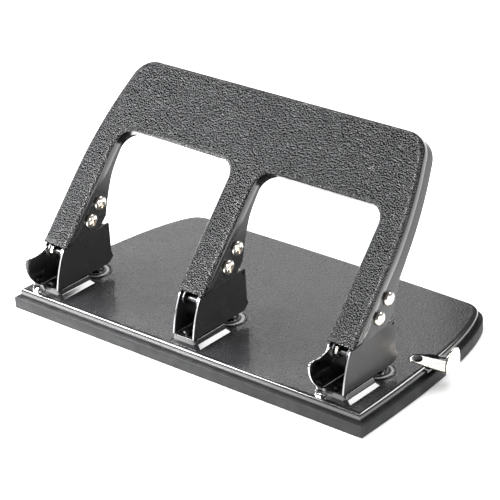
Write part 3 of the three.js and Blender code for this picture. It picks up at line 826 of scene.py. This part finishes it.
def stop_plate(tag, x):
    points = [Vector((21.5, 36))]
    points += bezier((21.5, 36), (21.5, 39.7), (19.8, 41.5), (16.4, 41.4), 8)
    points += bezier((16.4, 41.4), (13, 40.8), (9, 38), (3.6, 38.2), 10)
    points += bezier((3.6, 38.2), (0, 38.4), (-1.6, 39.2), (-3.6, 38.6), 8)
    points += bezier((-3.6, 38.6), (-5.6, 38), (-5.7, 35.2), (-5.2, 33), 8)
    points += bezier((-5.2, 33), (-4.6, 29.6), (-2.6, 25.4), (0.2, 22.6), 10)
    points += bezier((0.2, 22.6), (0.9, 21.6), (0.7, 20.6), (0, 19.8), 6)
    points += bezier((0, 19.8), (-1.1, 18.2), (-0.6, 16.2), (0.6, 14.6), 8)
    points += [Vector((3.6, 14.2)), Vector((5.2, 18))]
    points += bezier((5.2, 18), (5.4, 20.8), (10, 24), (13, 30), 10)
    points += bezier((13, 30), (15, 33), (21.5, 32), (21.5, 36), 10)[:-1]
    body = plate(points, 0.8, 0.28, lambda u, v, w: (x - 5.8 - w, u, v))
    roll = [(1.4, -3.1), (2.3, -3.1), (2.4, -3.2), (2.4, -6.5), (2.3, -6.6), (1.4, -6.6), (1.4, -3.1)]
    points, faces = merge(body, turned(roll, sideways(x, 2.3, 16.8), 32))
    add_piece(f"stop_blade_{tag}", points, faces, "handle", "chrome_plate", f"stop_plate_{tag}", 40)


def pivot_nut(tag, x):
    rings = []
    for h, r in ((-1.2, 3.6), (-0.9, 3.9), (0.9, 3.9), (1.2, 3.6)):
        ring = []
        for i in range(6):
            a = math.radians(60 * i)
            ring.append((x - 3.2 + h, PIVOT[0] + r * math.cos(a), PIVOT[1] + r * math.sin(a)))
        rings.append(ring)
    hole = []
    for h in (1.2, -1.2):
        hole.append([(x - 3.2 + h, PIVOT[0] + 2.3 * math.cos(math.radians(60 * i)),
                      PIVOT[1] + 2.3 * math.sin(math.radians(60 * i))) for i in range(6)])
    points, faces = skin(rings + hole, closed=True)
    add_piece(f"hex_nut_{tag}", points, faces, "base", "nickel", f"pivot_nut_{tag}", 30)


# ---- punch pin train ------------------------------------------------------------------------
def return_spring(tag, x):
    wire, mean, turns = 0.34, 4.1, 5.5
    low, high = 20.3 + wire, 36.0 - wire
    rings = []
    rounds = int(turns * 28)
    for i in range(rounds + 1):
        t = i / rounds
        a = t * turns * 2 * math.pi
        ring = []
        for k in range(10):
            b = 2 * math.pi * k / 10
            r = mean + wire * math.cos(b)
            height = low + (high - low) * t + wire * math.sin(b)
            ring.append((x + r * math.cos(a), DIE_Y + r * math.sin(a), height))
        rings.append(ring)
    points, faces = skin(rings)
    obj = add_piece(f"coil_spring_{tag}", points, faces, "base", "spring_steel", f"return_spring_{tag}", 60)
    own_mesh(obj)


# ---- edge guide -----------------------------------------------------------------------------
def edge_guide():
    px, py = GUIDE_PIVOT
    outline = [Vector((px - 0.6, py - 4.2)), Vector((126, 65.6)), Vector((139.9, 66)), Vector((139.9, 78.6)),
               Vector((px + 1, py + 4.4))]
    outline += arc(px, py, 4.4, 85, 258, 16)
    bar = plate(outline, 1.2, 0.3, lambda u, v, w: (u, v, 11.7 + w))
    tab = [Vector((66, 11.7)), Vector((78.6, 11.7)), Vector((78.9, 19))]
    tab += bezier((78.9, 19), (78.6, 23.2), (77, 24.8), (74.4, 24.8), 12)
    tab += bezier((74.4, 24.8), (70.4, 24.8), (66.6, 21.6), (66, 16), 14)
    blade = plate(tab, 1.2, 0.35, lambda u, v, w: (139.3 + w, u, v))
    points, faces = merge(bar, blade)
    add_piece("guide_arm", points, faces, "edge_guide", "nickel", "edge_guide", 40)


# ---- kept CAD nodes -------------------------------------------------------------------------
def dress(node, material):
    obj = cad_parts[node]
    obj.data.materials.clear()
    obj.data.materials.append(MATERIALS[material]())


# ---- stage ----------------------------------------------------------------------------------
def stage():
    mesh = bpy.data.meshes.new("floor")
    size = 4.0
    corners = [(-size, -size, 0), (size, -size, 0), (size, size, 0), (-size, size, 0)]
    mesh.from_pydata(corners, [], [(0, 1, 2, 3)])
    floor = bpy.data.objects.new("floor", mesh)
    bpy.context.scene.collection.objects.link(floor)
    material = bpy.data.materials.new("floor_white")
    material.use_nodes = True
    shader = material.node_tree.nodes["Principled BSDF"]
    shader.inputs["Base Color"].default_value = (0.93, 0.93, 0.93, 1)
    shader.inputs["Roughness"].default_value = 0.25
    mesh.materials.append(material)
    world = bpy.data.worlds.new("studio")
    world.use_nodes = True
    background = world.node_tree.nodes["Background"]
    background.inputs["Color"].default_value = (1, 1, 1, 1)
    background.inputs["Strength"].default_value = 0.12
    bpy.context.scene.world = world


def area_light(name, location, target, size, power, size_y=None, glossy=True):
    light = bpy.data.lights.new(name, "AREA")
    light.energy = power
    light.shape = "RECTANGLE"
    light.size = size
    light.size_y = size_y or size
    obj = bpy.data.objects.new(name, light)
    bpy.context.scene.collection.objects.link(obj)
    obj.location = location
    obj.rotation_euler = (Vector(target) - Vector(location)).to_track_quat("-Z", "Y").to_euler()
    obj.visible_glossy = glossy


def camera():
    azimuth, elevation, roll = (math.radians(a) for a in (41.85, 26.12, -3.27))
    back = Vector((math.sin(azimuth) * math.cos(elevation), -math.cos(azimuth) * math.cos(elevation),
                   math.sin(elevation)))
    right = (-back).cross(Vector((0, 0, 1))).normalized()
    up = right.cross(-back)
    x_axis = right * math.cos(roll) + up * math.sin(roll)
    y_axis = up * math.cos(roll) - right * math.sin(roll)
    eye = place(5.81, 60.53, 52.89) + back * 1.3196
    data = bpy.data.cameras.new("camera")
    data.lens = 165.2
    data.clip_end = 20
    obj = bpy.data.objects.new("camera", data)
    bpy.context.scene.collection.objects.link(obj)
    basis = Matrix((x_axis, y_axis, back)).transposed().to_4x4()
    obj.matrix_world = Matrix.Translation(eye) @ basis
    bpy.context.scene.camera = obj


# ---- assembly -------------------------------------------------------------------------------
chip_tray()
base_plate()
handle_frame()
handle_pad()
edge_guide()
dress("guide_rivet", "black_steel")
for tag, x in HEADS.items():
    side = -1 if tag == "right" else 1
    die(tag, x)
    bracket(tag, x)
    pivot_pin(tag, x)
    stop_pin(tag, x)
    return_spring(tag, x)
    for k, y in enumerate(RIVET_Y, 1):
        rivet(f"web_rivet_{tag}_{k}", x, y, WEB_LOW - GAP - SHEET, WEB_TOP, f"bracket_rivet_{tag}_{k}")
    for k, (y, z) in enumerate(SCREWS, 1):
        clamp_screw(tag, k, x, side, y, z)
        clamp_nut(tag, k, x, side, y, z)
    dress(f"lever_{tag}", "lever_steel")
    dress(f"punch_pin_{tag}", "tool_steel")
    dress(f"cross_pin_{tag}", "pin_steel")
    dress(f"spring_washer_{tag}", "pin_steel")
    if tag != "middle":
        stop_plate(tag, x)
        pivot_nut(tag, x)

stage()
area_light("overhead", (0.0, 0.2, 1.8), (0, 0, 0), 2.6, 76, glossy=False)
area_light("front_left", (-0.38, -0.3, 0.3), (-0.08, -0.05, 0.05), 0.36, 11, 0.2)
area_light("top_left", (-0.84, 0.32, 1.08), (0, -0.05, 0), 0.7, 4.5, 0.12)
area_light("back_right", (0.75, 1.0, 0.85), (0.05, 0, 0.02), 0.7, 9, 0.4)
area_light("back_left", (-0.95, 1.05, 0.72), (0, 0, 0.02), 0.5, 2.2, 0.5)
area_light("right", (1.2, 0.2, 0.14), (0.1, 0, 0.1), 0.3, 2.4, 0.26)
camera()
bpy.context.scene.view_settings.view_transform = "Standard"
